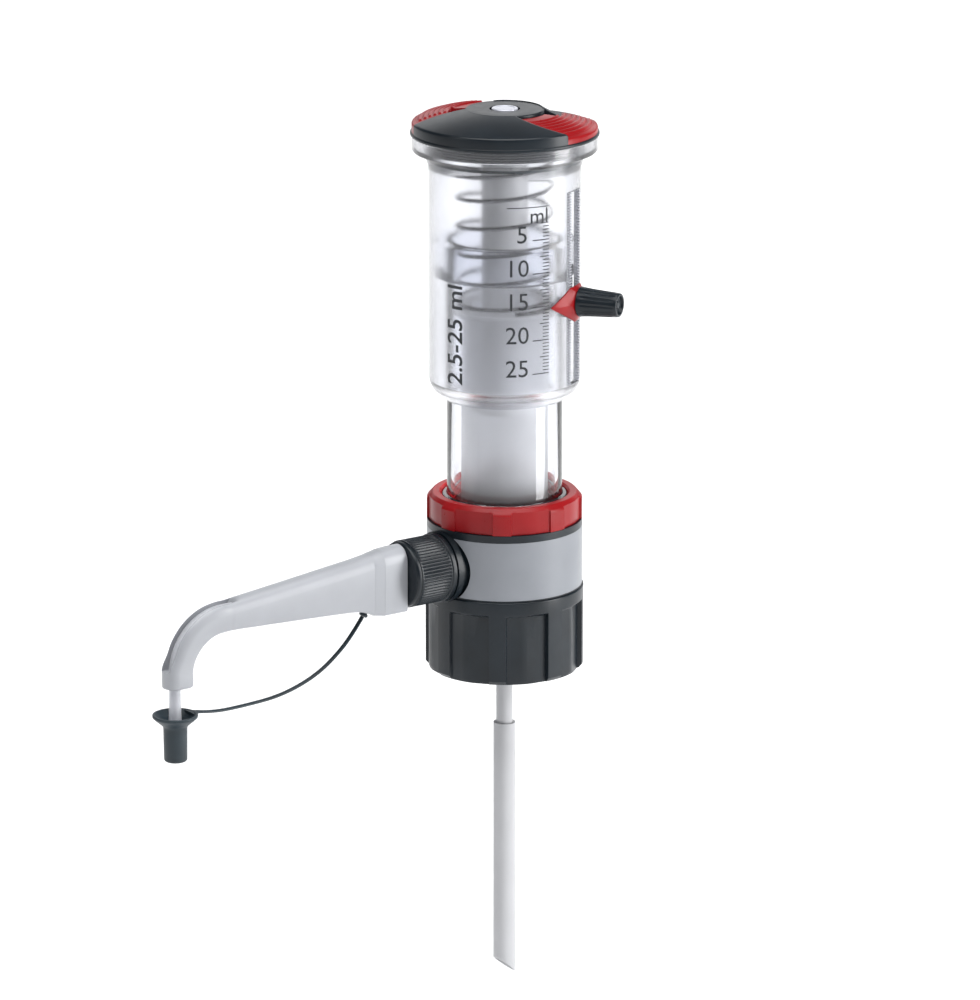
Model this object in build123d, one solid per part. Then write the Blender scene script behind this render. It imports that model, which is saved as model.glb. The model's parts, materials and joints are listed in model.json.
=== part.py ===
"""Bottle-top dispenser with a spring-lifted plunger, 2.5 to 25 ml.

Millimetres, +Z up. The origin is on the bottle axis, in the plane of the screw collar's lower face.
The discharge tube points along -X. Every physical piece is one STEP file in parts/.
"""

import os
from math import atan2, cos, degrees, pi, radians, sin, sqrt

from build123d import *

# ---------------------------------------------------------------- driving dimensions
gap = 0.3                      # between faces that move past each other
fit = 0.05                     # round the pieces that are only pushed together
running_fit = 0.08             # radial play of a turning or sliding shaft

# screw collar, GL 45 thread
thread_radius = 22.5
collar_radius = 28.4
collar_height = 30.6
thread_length = 22.6
collar_recesses = 8
first_recess = 26.3            # azimuth, degrees
recess_half_angle = 16.2

# valve block, its cover and the side outlet
block_bottom = 30.8
block_radius = 27.9
cover_bottom = 31.2
cover_top = 52.6
block_top = 55.2
stem_radius = 21.12
stem_bottom = 24.6
outlet_z = 41.0
boss_radius = 12.9
boss_reach = 29.2
spigot_radius = 9.5
spigot_reach = 40.0

# red union nut and the two fixed tubes
nut_top = 64.9
nut_ribs = 8
guide_radius = 20.66
guide_wall = 2.0
guide_ring_radius = 22.4       # ring inside the nut's bore
guide_ring_top = 64.2
bush_bottom = 145.0
bush_top = 157.8
cylinder_radius = 15.8
cylinder_bore = 11.6
cylinder_floor = 58.6
cylinder_top = 133.0

# plunger: sleeve, head, rod and piston
dose_travel = 35.7             # 15 ml in the 23.1 mm bore
sleeve_radius = 27.0
sleeve_bore = 25.2
sleeve_bottom = 100.2
flange_radius = 32.85
flange_bottom = 189.7
flange_top = 195.1
skirt_radius = 28.6            # of the head's threaded skirt, inside the flange
skirt_bottom = 190.5
head_radius = 33.5
rim_top = 196.4
lobe_radius = 33.1
hub_radius = 14.0
hub_top = 204.3
screw_seat = 198.5
piston_bottom = 94.6
rod_radius = 8.2
spring_radius = 16.8           # to the wire's centre
spring_wire = 1.4

# volume stop, in a slot of the sleeve
stop_azimuth = -59.0
slot_half_width = 2.1
slot_bottom = 107.0
slot_top = 177.0
stop_z = 137.0
knob_start = 29.3
knob_end = 44.2

# discharge tube and closure cap, in the plane y = 0
nut_reach = 46.2
outlet_nut_radius = 12.15
nozzle_radius = 2.35
nozzle_bore = 1.5
bend_s = 122.0                 # centre of the tube's bend
bend_z = 21.0
bend_radius = 20.0             # of the inner tube's axis
tube_width = 11.0
tip_bottom = 15.0
nozzle_bottom = -6.0
cap_bottom = -10.4
cap_radius = 4.2
cap_dish_radius = 8.0

# strap of the closure cap: (distance from the bottle axis, z), from the cap to its anchor under the tube
strap_width = 2.0
strap_route = [(133.1, 6.0), (126.5, 4.5), (113.0, 4.5), (97.0, 5.4), (82.0, 10.2), (71.6, 17.6), (65.4, 24.2),
               (62.35, 28.3)]

# valves and filling tube
ball_radius = 2.4
outlet_ball_radius = 2.0
fill_radius = 3.0
fill_bore = 2.0
fill_outer_radius = 4.0
fill_bottom = -118.0


# ---------------------------------------------------------------- small helpers
def revolved(points):
    """Solid of revolution about Z from (radius, z) points."""
    return revolve(make_face(Polyline(*[(r, 0, z) for r, z in points], close=True)), Axis.Z)


def ring(outer, inner, low, high):
    return revolved([(inner, low), (outer, low), (outer, high), (inner, high)])


def rod_between(radius, low, high):
    return Pos(0, 0, low) * Cylinder(radius, high - low, align=(Align.CENTER, Align.CENTER, Align.MIN))


def along_outlet(shape):
    """Lays a shape made about Z along the outlet: its z becomes the distance from the bottle axis."""
    return Pos(0, 0, outlet_z) * Rot(0, -90, 0) * shape


def at_azimuth(shape, azimuth):
    """Turns a shape made along +X to an azimuth about Z."""
    return Rot(0, 0, azimuth) * shape


def side_face(wires):
    """Face in the tube's plane; its points are (distance from the bottle axis, z)."""
    return Plane(origin=(0, 0, 0), x_dir=(-1, 0, 0), z_dir=(0, 1, 0)) * make_face(wires)


def helix_wire(radius, wire, low, high, turns):
    """Round-wire coil spring about Z between two heights, coil outside included."""
    height = high - low - wire
    path = Pos(0, 0, low + wire / 2) * Helix(pitch=height / turns, height=height, radius=radius)
    section = Plane(origin=path @ 0, z_dir=path % 0) * Circle(wire / 2)
    return sweep(section, path=path, is_frenet=True)


# ---------------------------------------------------------------- collar and valve block
def bottle_collar():
    """Threaded collar with a relief for the gasket and ring above the thread, and eight grip recesses."""
    lip = 27.6
    relief = thread_radius + 0.5
    body = revolved([
        (thread_radius, 0.0), (collar_radius - 1.2, 0.0), (collar_radius, 1.4), (collar_radius, collar_height),
        (stem_radius + running_fit, collar_height), (stem_radius + running_fit, lip), (relief, lip),
        (relief, thread_length), (thread_radius, thread_length)])
    recess_low, recess_high = -1.0, 25.8
    width = 2 * collar_radius * sin(radians(recess_half_angle))
    for i in range(collar_recesses):
        recess = Pos(28.9, 0, (recess_low + recess_high) / 2) * Box(4, width, recess_high - recess_low)
        body -= at_azimuth(recess, first_recess + 360 / collar_recesses * i)
    return body


def retaining_ring():
    return ring(thread_radius - gap, stem_radius - 1.1, 25.7, 27.3)


def bottle_gasket():
    return ring(stem_radius, 12.0, stem_bottom - 2.0, stem_bottom)


def valve_block():
    groove = stem_radius - 1.12 - fit
    core = revolved([
        (0, stem_bottom), (stem_radius, stem_bottom), (stem_radius, 25.65), (groove, 25.65), (groove, 27.35),
        (stem_radius, 27.35), (stem_radius, block_bottom), (block_radius, block_bottom),
        (block_radius, cover_bottom), (25.9, cover_bottom), (25.9, cover_top), (block_radius, cover_top),
        (block_radius, block_top), (24.6, block_top), (24.6, 60.6), (20.1, 60.6), (20.1, 57.0),
        (0, 57.0)])
    boss = along_outlet(rod_between(boss_radius - 1.1, 0, boss_reach) + rod_between(spigot_radius, 0, spigot_reach))
    boss += along_outlet(rod_between(boss_radius, boss_reach - 2.2, boss_reach))
    boss -= rod_between(collar_radius + gap, 0, block_bottom)
    body = core + boss
    seal_groove = ring(8.9, 7.1, 55.4, 57.0)
    body -= seal_groove
    body -= rod_between(5.95, stem_bottom, 33.0)
    body -= rod_between(ball_radius + 0.35, 33.0, 37.0)
    body -= rod_between(1.8, 37.0, 57.0)
    body -= along_outlet(rod_between(1.8, 0, 24.0) + rod_between(4.5, 24.0, spigot_reach))
    return body


def block_cover():
    body = ring(block_radius, 25.9 + fit, cover_bottom + fit, cover_top - fit)
    return body - along_outlet(rod_between(boss_radius + 0.25, 0, 40))


def inlet_valve_seat():
    return revolved([
        (fill_radius + fit, 12.0), (5.0, 12.0), (5.0, stem_bottom - 0.4), (5.9, stem_bottom - 0.4), (5.9, 33.0 - fit),
        (2.85, 33.0 - fit), (1.6, 31.0), (1.6, 29.0), (fill_radius + fit, 29.0)])


def inlet_valve_ball():
    return Pos(0, 0, 33.05) * Sphere(ball_radius)


def outlet_valve_seat():
    return along_outlet(revolved([
        (1.6, 24.0 + fit), (4.45, 24.0 + fit), (4.45, 38.0), (2.3, 38.0), (2.3, 31.0), (1.6, 31.0)]))


def outlet_ball_reach():
    return 31.0 + sqrt(outlet_ball_radius ** 2 - 1.6 ** 2) + fit


def outlet_valve_ball():
    return along_outlet(Pos(0, 0, outlet_ball_reach()) * Sphere(outlet_ball_radius))


def outlet_valve_spring():
    start = outlet_ball_reach() + outlet_ball_radius
    return along_outlet(helix_wire(1.7, 0.35, start, 38.0 - fit, 4))


# ---------------------------------------------------------------- nut, guide tube and cylinder
def cylinder_nut():
    valley, thread = 27.2, 24.65
    body = revolved([
        (thread, block_top + fit), (valley, block_top + fit), (valley, nut_top - 1.6), (valley - 1.6, nut_top),
        (23.4, nut_top), (22.7, nut_top - 0.8), (22.7, 62.3), (thread, 62.3)])
    for i in range(nut_ribs):
        rib = Pos(26.4, 0, (block_top + nut_top - 1.0) / 2) * Box(3.0, 6.6, nut_top - block_top - 1.1)
        rib &= rod_between(block_radius, block_top, nut_top)
        body += at_azimuth(rib, 7 + 360 / nut_ribs * i)
    return body - rod_between(thread, block_top, 62.0)


def guide_tube():
    inner = guide_radius - guide_wall
    return revolved([
        (inner, 60.65), (24.3, 60.65), (24.3, 62.2), (guide_ring_radius, 62.2), (guide_ring_radius, guide_ring_top),
        (guide_radius, guide_ring_top), (guide_radius, bush_top), (inner, bush_top)])


def guide_bush():
    return revolved([
        (guide_radius + fit, bush_bottom), (24.4, bush_bottom), (24.9, bush_bottom + 0.6),
        (24.9, bush_top - 0.6), (24.4, bush_top), (guide_radius + fit, bush_top)])


def dispensing_cylinder():
    return revolved([
        (2.0, 57.0 + fit), (20.0, 57.0 + fit), (20.0, 60.6), (cylinder_radius, 60.6),
        (cylinder_radius, cylinder_top - 1.8), (18.3, cylinder_top - 1.8), (18.3, cylinder_top),
        (cylinder_bore, cylinder_top), (cylinder_bore, cylinder_floor), (2.0, cylinder_floor)])


def cylinder_seal():
    return Pos(0, 0, 56.22) * Torus(8.0, 0.75)


def lifting_spring():
    return helix_wire(spring_radius, spring_wire, cylinder_top + fit, flange_top - fit, 6)


# ---------------------------------------------------------------- plunger
def sleeve_profile():
    wall = sleeve_radius - sleeve_bore
    outside = [
        (21.0, sleeve_bottom), (22.4, sleeve_bottom), (25.6, sleeve_bottom + 3.0),
        (26.7, sleeve_bottom + 5.2), (sleeve_radius, sleeve_bottom + 8.0), (sleeve_radius, 182.0),
        (28.2, 187.2), (29.6, flange_bottom), (flange_radius - 0.4, flange_bottom),
        (flange_radius, flange_bottom + 0.4), (flange_radius, flange_top)]
    inside = [
        (skirt_radius, flange_top), (skirt_radius, skirt_bottom), (sleeve_bore, skirt_bottom),
        (sleeve_bore, sleeve_bottom + 6.4), (25.6 - wall, sleeve_bottom + 4.2),
        (21.0, sleeve_bottom + 1.8)]
    return outside + inside


def rack_pocket(side, play):
    """Pocket for one rack, beside the slot, in the sleeve's outer wall."""
    centre = (slot_bottom + slot_top) / 2
    width = 1.9 + 2 * play
    height = slot_top - slot_bottom + 2 * play
    return at_azimuth(Pos(sleeve_radius + 1.0, side * 3.95, centre) * Box(4.4, width, height), stop_azimuth)


def scale_sleeve():
    body = revolved(sleeve_profile())
    centre = (slot_bottom + slot_top) / 2
    slot = Pos(sleeve_radius, 0, centre) * Box(12, 2 * slot_half_width, slot_top - slot_bottom)
    body -= at_azimuth(slot, stop_azimuth)
    for side in (-1, 1):
        body -= rack_pocket(side, fit)
    return body


def stop_racks():
    """Two toothed strips, one each side of the slot, that the stop clicks along."""
    pitch = 1.0
    teeth = int((slot_top - slot_bottom) / pitch)
    outline = [(25.95, slot_bottom), (26.2, slot_bottom)]
    for i in range(teeth):
        low = slot_bottom + i * pitch
        outline += [(26.62, low + pitch / 2), (26.2, low + pitch)]
    outline += [(25.95, slot_bottom + teeth * pitch)]
    face = make_face(Polyline(*[(r, 0, z) for r, z in outline], close=True))
    strips = []
    for side in (-1, 1):
        strip = at_azimuth(Pos(0, side * 3.95 + 0.95, 0) * extrude(face, amount=1.9, dir=(0, -1, 0)), stop_azimuth)
        strips.append(strip)
    return Compound(children=strips)


def head_base():
    """Round rim under the head, with a skirt that screws into the sleeve's flange."""
    body = revolved([
        (0, flange_top), (head_radius - 0.5, flange_top), (head_radius, flange_top + 0.5),
        (head_radius, rim_top - 0.4), (head_radius - 0.6, rim_top), (0, rim_top)])
    body += ring(skirt_radius - fit, sleeve_bore, skirt_bottom + fit, flange_top)
    return body - rod_between(2.6, flange_top, rim_top)


def wing_sector(grow):
    """The two sectors between the head's black lobes, where the red grips lie."""
    corners = [(hub_radius - 4, -108), (hub_radius, -108), (36, -84), (60, -53), (36, -22), (hub_radius, -36),
               (hub_radius - 4, -36)]
    face = make_face(Polyline(*[(r * cos(radians(a)), r * sin(radians(a))) for r, a in corners], close=True))
    face = offset(face, amount=grow, kind=Kind.INTERSECTION)
    sector = Pos(0, 0, rim_top - 5) * extrude(face, amount=30)
    return [sector, Rot(0, 0, 180) * sector]


def head_saddle():
    """Black hub with two raised lobes."""
    lobe_edge = 199.7
    outline = [
        Line((0, 0, rim_top), (lobe_radius, 0, rim_top)),
        Line((lobe_radius, 0, rim_top), (lobe_radius, 0, lobe_edge)),
        ThreePointArc((lobe_radius, 0, lobe_edge), (24.5, 0, 202.4), (hub_radius, 0, hub_top)),
        Line((hub_radius, 0, hub_top), (0, 0, hub_top)),
        Line((0, 0, hub_top), (0, 0, rim_top))]
    dome = revolve(make_face(outline), Axis.Z)
    hub = rod_between(hub_radius, rim_top, hub_top)
    for sector in wing_sector(0.0):
        dome -= sector
    body = dome + hub
    button_seat = hub_top - 1.4
    body -= rod_between(4.95, button_seat, hub_top)
    return body - rod_between(4.0, screw_seat, button_seat) - rod_between(2.6, rim_top, screw_seat)


def head_grip():
    """Two red wings with concentric finger ribs."""
    inner, outer, edge, crest = hub_radius + 1.2, lobe_radius, 199.4, 203.7
    body = revolve(make_face(Polyline(
        (inner, 0, rim_top), (outer, 0, rim_top), (outer, 0, edge - 0.8), (outer - 1.2, 0, edge),
        (inner, 0, crest), close=True)), Axis.Z)
    slope = (crest - edge) / (outer - 1.2 - inner)
    for i in range(6):
        r = 20.2 + 2.0 * i
        body -= ring(r + 0.85, r, edge - 0.6 + (outer - 1.2 - r) * slope, crest)
    wings = [body & sector for sector in wing_sector(-0.2)]
    return Compound(children=wings)


def head_screw():
    shank = rod_between(2.5, 176.0, screw_seat + fit)
    return shank + rod_between(3.9, screw_seat + fit, 201.6)


def head_button():
    bottom = hub_top - 1.4 + fit
    return revolved([(0, bottom), (4.9, bottom), (4.9, hub_top + 0.1), (4.5, hub_top + 0.4), (0, hub_top + 0.5)])


def piston_rod():
    """Hollow rod, closed at both ends, threaded for the head's screw."""
    body = rod_between(rod_radius, 104.6, flange_top)
    body -= rod_between(rod_radius - 2.0, 108.0, 170.0)
    return body - rod_between(2.5 + fit, 174.0, flange_top) - rod_between(2.5, 104.6, 107.0)


def piston():
    """Body with a groove for the seal and a stud that screws into the rod."""
    return revolved([
        (0, piston_bottom), (10.6, piston_bottom), (10.6, piston_bottom + 1.0), (9.4, piston_bottom + 1.0),
        (9.4, piston_bottom + 4.2), (11.1, piston_bottom + 4.2), (11.1, 104.5), (2.4, 104.5), (2.4, 106.8),
        (0, 106.8)])


def piston_seal():
    return revolved([
        (9.45, piston_bottom + 1.05), (cylinder_bore - running_fit, piston_bottom + 1.05),
        (cylinder_bore - running_fit, piston_bottom + 1.9), (cylinder_bore - 0.4, piston_bottom + 2.6),
        (cylinder_bore - running_fit, piston_bottom + 3.3), (cylinder_bore - running_fit, piston_bottom + 4.15),
        (9.45, piston_bottom + 4.15)])


# ---------------------------------------------------------------- volume stop
def stop_pointer():
    """Red saddle on the sleeve, pointed at the scale, with a boss for the knob."""
    face = make_face(Polyline((15.0, 0.0), (13.6, 0.6), (4.4, 5.6), (-4.2, 5.6), (-4.2, -7.4), (3.0, -7.4),
                              (13.6, -0.6), close=True))
    plan = Plane(origin=(0, 0, stop_z), x_dir=(0, -1, 0), z_dir=(1, 0, 0))
    wedge = extrude(plan * face, amount=40)
    plate = rod_between(28.7, stop_z - 10, stop_z + 10) - rod_between(sleeve_radius + gap, 100, 180)
    boss = Pos(0, 0, stop_z) * Rot(0, 90, 0) * rod_between(5.4, 26, knob_start - gap)
    boss -= rod_between(sleeve_radius + gap, 100, 180)
    body = (plate & wedge) + boss
    body -= Pos(0, 0, stop_z) * Rot(0, 90, 0) * rod_between(1.7, 20, 40)
    return Rot(0, 0, stop_azimuth) * body


def stop_nose():
    """Block inside the sleeve that meets the guide bush when the plunger rises."""
    low, high = stop_z - 5.0, bush_bottom - gap
    body = Pos(22.85, 0, (low + high) / 2) * Box(3.1, 8.0, high - low)
    body -= Pos(0, 0, stop_z) * Rot(0, 90, 0) * rod_between(1.6 + fit, 20, 40)
    return Rot(0, 0, stop_azimuth) * body


def stop_stud():
    body = Pos(0, 0, stop_z) * Rot(0, 90, 0) * rod_between(1.6, 21.4, 39.6)
    return Rot(0, 0, stop_azimuth) * body


def stop_knob():
    body = revolve(make_face(Polyline(
        (0, 0, knob_start), (5.15, 0, knob_start), (4.3, 0, knob_end - 0.5), (3.9, 0, knob_end),
        (2.9, 0, knob_end), (2.4, 0, knob_end - 0.9), (0, 0, knob_end - 1.3), close=True)), Axis.Z)
    for i in range(12):
        flute = Pos(5.45, 0, (knob_start + knob_end) / 2 + 0.6) * Box(1.0, 1.1, knob_end - knob_start - 3.0)
        body -= Rot(0, 0, 30 * i) * flute
    body -= rod_between(1.6 + fit, knob_start, 40.0)
    return Rot(0, 0, stop_azimuth) * Pos(0, 0, stop_z) * Rot(0, 90, 0) * body


# ---------------------------------------------------------------- discharge side
def outlet_union_nut():
    body = revolved([
        (spigot_radius + 0.1, boss_reach + gap), (outlet_nut_radius + 0.35, boss_reach + gap),
        (outlet_nut_radius + 0.35, 31.2), (outlet_nut_radius, 31.5), (outlet_nut_radius, nut_reach - 0.8),
        (outlet_nut_radius - 0.8, nut_reach), (8.5, nut_reach), (8.5, 42.9), (11.4, 42.9), (11.4, spigot_reach),
        (spigot_radius + 0.1, spigot_reach)])
    grooves = 60
    for i in range(grooves):
        groove = Pos(outlet_nut_radius + 0.35, 0, 37.8) * Box(1.1, 0.55, 11.8)
        body -= Rot(0, 0, 360 / grooves * (i + 0.5)) * groove
    return along_outlet(body)


def tube_outline():
    """Side outline of the discharge tube, from the nut to the tip and back."""
    outer, inner = 23.3, 11.6
    slope = radians(12)
    top_end = (bend_s, bend_z + outer)
    side_end = (bend_s + outer * cos(slope), bend_z + outer * sin(slope))
    tip_right = bend_s + 24.5
    tip_left = bend_s + 11.4
    under_end = (bend_s, bend_z + inner + 1.2)
    return [
        Spline((nut_reach + gap, 52.4), (57.0, 52.0), (76.0, 47.8), (95.0, 45.2), top_end,
               tangents=[(1, 0.05), (1, 0)]),
        ThreePointArc(top_end, (bend_s + outer * sin(radians(40)), bend_z + outer * cos(radians(40))), side_end),
        Line(side_end, (tip_right, 23.4)),
        Line((tip_right, 23.4), (tip_right, tip_bottom + 1.2)),
        Line((tip_right, tip_bottom + 1.2), (tip_right - 1.2, tip_bottom)),
        Line((tip_right - 1.2, tip_bottom), (tip_left + 1.2, tip_bottom)),
        Line((tip_left + 1.2, tip_bottom), (tip_left, tip_bottom + 1.2)),
        Line((tip_left, tip_bottom + 1.2), (tip_left, bend_z)),
        ThreePointArc((tip_left, bend_z), (bend_s + 8.4, bend_z + 9.0), under_end),
        Line(under_end, (66.0, 31.2)),
        Line((66.0, 31.2), (58.0, 28.4)),
        Line((58.0, 28.4), (nut_reach + gap, 28.4)),
        Line((nut_reach + gap, 28.4), (nut_reach + gap, 52.4))]


def nozzle_path(start, end_z):
    """Axis of the inner tube: along the outlet, round the bend, down to the tip."""
    corner = (bend_s, bend_z + bend_radius)
    half = (bend_s + bend_radius * sin(radians(45)), bend_z + bend_radius * cos(radians(45)))
    turn = (bend_s + bend_radius, bend_z)
    wires = [Line((start, outlet_z), corner), ThreePointArc(corner, half, turn), Line(turn, (turn[0], end_z))]
    plane = Plane(origin=(0, 0, 0), x_dir=(-1, 0, 0), z_dir=(0, 1, 0))
    return plane * Wire(wires)


def swept_round(radius, start, end_z):
    path = nozzle_path(start, end_z)
    return sweep(Plane(origin=path @ 0, z_dir=path % 0) * Circle(radius), path=path)


def discharge_tube():
    half = tube_width / 2
    body = extrude(side_face(tube_outline()), amount=half, both=True)
    plan = make_face(Polyline((-40, -half), (-60, -half), (-150, -half + 1.2), (-150, half - 1.2), (-60, half),
                              (-40, half), close=True))
    body &= extrude(plan, amount=70)
    spigot = along_outlet(rod_between(8.4, 42.6, nut_reach + 1.0) + rod_between(11.3, spigot_reach + gap, 42.6))
    body += spigot
    body -= swept_round(nozzle_radius + 0.1, spigot_reach - 1, 0.0)
    trough = [
        ThreePointArc((bend_s - 4, bend_z + 30), (bend_s + 21, bend_z + 21), (bend_s + 30, bend_z - 0.0)),
        Line((bend_s + 30, bend_z), (bend_s + bend_radius, bend_z + 1.0)),
        ThreePointArc((bend_s + bend_radius, bend_z + 1.0),
                      (bend_s + bend_radius * sin(radians(40)), bend_z + bend_radius * cos(radians(40))),
                      (bend_s - 4, bend_z + bend_radius)),
        Line((bend_s - 4, bend_z + bend_radius), (bend_s - 4, bend_z + 30))]
    return body - extrude(side_face(trough), amount=nozzle_radius + 0.1, both=True)


def outlet_nozzle():
    """Inner tube that carries the liquid, with a flange clamped in the outlet."""
    flange = along_outlet(rod_between(4.4, 38.0, spigot_reach))
    body = flange + swept_round(nozzle_radius, spigot_reach - 1, nozzle_bottom)
    return body - swept_round(nozzle_bore, 37.0, nozzle_bottom - 1)


def closure_cap():
    x = -(bend_s + bend_radius)
    bore = nozzle_radius + running_fit
    body = revolved([
        (0, cap_bottom), (cap_radius - 0.6, cap_bottom), (cap_radius, cap_bottom + 0.8), (cap_radius + 0.05, 2.6),
        (cap_dish_radius - 0.4, 5.0), (cap_dish_radius, 5.6), (cap_dish_radius, 6.6), (cap_dish_radius - 0.8, 6.6),
        (cap_radius + 0.6, 4.4), (bore, 3.6), (bore, -8.0), (0, -8.0)])
    lug = Pos(cap_dish_radius + 0.1, 0, 5.9) * Box(1.8, 2.6, 1.3)
    return Pos(x, 0, 0) * (body + lug)


def corner_radii(points):
    """Largest tangent arc at each inner corner: 0.45 of the shorter run over the tangent of half the turn."""
    radii = []
    for before, here, after in zip(points, points[1:], points[2:]):
        run_in = (here[0] - before[0], here[1] - before[1])
        run_out = (after[0] - here[0], after[1] - here[1])
        turn = abs(degrees(atan2(run_in[0] * run_out[1] - run_in[1] * run_out[0],
                                 run_in[0] * run_out[0] + run_in[1] * run_out[1])))
        shorter = min(sqrt(run_in[0] ** 2 + run_in[1] ** 2), sqrt(run_out[0] ** 2 + run_out[1] ** 2))
        radii.append(0.45 * shorter / sin(radians(turn / 2)) * cos(radians(turn / 2)))
    return radii


def cap_strap():
    radii = corner_radii(strap_route)
    print("strap corner radii", [round(r, 1) for r in radii])
    path = FilletPolyline(*[(-s, 0, z) for s, z in strap_route], radius=radii)
    body = sweep(Plane(origin=path @ 0, z_dir=path % 0) * Circle(strap_width / 2), path=path)
    print("strap length", round(path.length, 1), "volume ratio",
          round(body.volume / (pi * (strap_width / 2) ** 2 * path.length), 4))
    return body


def strap_anchor():
    """Peg under the discharge tube that holds the strap's end."""
    body = revolved([(0, 0), (1.3, 0), (1.6, 0.4), (1.6, 1.0), (1.1, 1.4), (1.1, 5.0), (0, 5.0)])
    return Pos(-62.25, 0, 28.4) * Rot(0, 35, 0) * body


# ---------------------------------------------------------------- filling tube
def filling_tube_upper():
    return ring(fill_radius, fill_bore, -100.0, 28.9)


def filling_tube_lower():
    body = ring(fill_outer_radius, fill_radius + running_fit, fill_bottom, -22.0)
    bevel = Pos(0, 0, fill_bottom) * Rot(0, 40, 0) * Box(30, 30, 10, align=(Align.CENTER, Align.CENTER, Align.MAX))
    return body - Pos(fill_outer_radius, 0, 0) * bevel


NODES = {
    "bottle_collar": bottle_collar,
    "collar_retaining_ring": retaining_ring,
    "bottle_gasket": bottle_gasket,
    "valve_block": valve_block,
    "valve_block_cover": block_cover,
    "inlet_valve_seat": inlet_valve_seat,
    "inlet_valve_ball": inlet_valve_ball,
    "outlet_valve_seat": outlet_valve_seat,
    "outlet_valve_ball": outlet_valve_ball,
    "outlet_valve_spring": outlet_valve_spring,
    "cylinder_nut": cylinder_nut,
    "guide_tube": guide_tube,
    "guide_bush": guide_bush,
    "dispensing_cylinder": dispensing_cylinder,
    "cylinder_seal": cylinder_seal,
    "lifting_spring": lifting_spring,
    "scale_sleeve": scale_sleeve,
    "stop_racks": stop_racks,
    "head_base": head_base,
    "head_saddle": head_saddle,
    "head_grip": head_grip,
    "head_screw": head_screw,
    "head_button": head_button,
    "piston_rod": piston_rod,
    "piston": piston,
    "piston_seal": piston_seal,
    "stop_pointer": stop_pointer,
    "stop_nose": stop_nose,
    "stop_stud": stop_stud,
    "stop_knob": stop_knob,
    "outlet_union_nut": outlet_union_nut,
    "discharge_tube": discharge_tube,
    "outlet_nozzle": outlet_nozzle,
    "closure_cap": closure_cap,
    "cap_strap": cap_strap,
    "strap_anchor": strap_anchor,
    "filling_tube_upper": filling_tube_upper,
    "filling_tube_lower": filling_tube_lower,
}

os.makedirs("parts", exist_ok=True)
for node, make in NODES.items():
    export_step(make(), f"parts/{node}.step")
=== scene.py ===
import json
import math

import bmesh
import bpy
from mathutils import Matrix, Vector


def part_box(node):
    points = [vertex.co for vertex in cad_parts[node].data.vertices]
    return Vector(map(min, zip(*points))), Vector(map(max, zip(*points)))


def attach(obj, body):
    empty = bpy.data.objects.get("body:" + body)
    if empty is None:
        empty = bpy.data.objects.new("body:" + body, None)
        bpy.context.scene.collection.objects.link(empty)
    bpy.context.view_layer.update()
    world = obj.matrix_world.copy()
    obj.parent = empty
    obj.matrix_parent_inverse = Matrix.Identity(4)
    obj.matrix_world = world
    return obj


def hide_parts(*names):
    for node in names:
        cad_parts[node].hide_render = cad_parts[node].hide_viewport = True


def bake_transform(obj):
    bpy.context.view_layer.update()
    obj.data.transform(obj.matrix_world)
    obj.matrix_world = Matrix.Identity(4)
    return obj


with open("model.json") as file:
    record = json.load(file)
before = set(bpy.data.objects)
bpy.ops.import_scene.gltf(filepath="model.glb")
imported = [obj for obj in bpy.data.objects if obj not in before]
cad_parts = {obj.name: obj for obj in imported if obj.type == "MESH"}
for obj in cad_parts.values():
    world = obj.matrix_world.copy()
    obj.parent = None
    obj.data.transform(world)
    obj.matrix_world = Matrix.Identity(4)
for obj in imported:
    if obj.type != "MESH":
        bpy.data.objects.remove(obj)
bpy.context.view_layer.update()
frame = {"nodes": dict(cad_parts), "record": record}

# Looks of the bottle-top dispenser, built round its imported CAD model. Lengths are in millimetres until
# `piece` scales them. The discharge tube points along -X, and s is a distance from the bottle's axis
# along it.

MM = 0.001
TURN = 2 * math.pi
SEGMENTS = 144          # steps round a turned piece
FRONT = 234             # azimuth of the camera's side of the object, in degrees
IDENTITY = Matrix.Identity(4)


# ---------------------------------------------------------------- dimensions from the frame
def box(node):
    """Lowest and highest corner of a CAD node, in millimetres."""
    low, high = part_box(node)
    return low / MM, high / MM


def round_size(node):
    """Radius, bottom and top of a CAD node that is round about the bottle axis."""
    low, high = box(node)
    return high.y, low.z, high.z


collar_radius, _, collar_top = round_size("bottle_collar")
nut_radius, nut_bottom, nut_top = round_size("cylinder_nut")
guide_foot_radius, guide_bottom, guide_top = round_size("guide_tube")
bush_radius, bush_bottom, bush_top = round_size("guide_bush")
cylinder_foot_radius, cylinder_bottom, cylinder_top = round_size("dispensing_cylinder")
spring_radius, spring_bottom, spring_top = round_size("lifting_spring")
flange_radius, sleeve_bottom, sleeve_top = round_size("scale_sleeve")
rim_radius, skirt_bottom, rim_top = round_size("head_base")
lobe_radius, _, head_top = round_size("head_saddle")
wing_radius, _, _ = round_size("head_grip")
button_radius, button_bottom, button_top = round_size("head_button")

union_low, union_high = box("outlet_union_nut")
outlet_z = (union_low.z + union_high.z) / 2
union_radius = union_high.y
union_start, union_end = -union_high.x, -union_low.x
tube_low, _ = box("discharge_tube")
tube_reach, tube_tip = -tube_low.x, tube_low.z
nozzle_low, _ = box("outlet_nozzle")
nozzle_radius = 2.35
nozzle_s = -nozzle_low.x - nozzle_radius
bend_radius = 20.0
bend_s = nozzle_s - bend_radius
bend_z = outlet_z - bend_radius
cap_bottom, cap_top = (corner.z for corner in box("closure_cap"))

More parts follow.
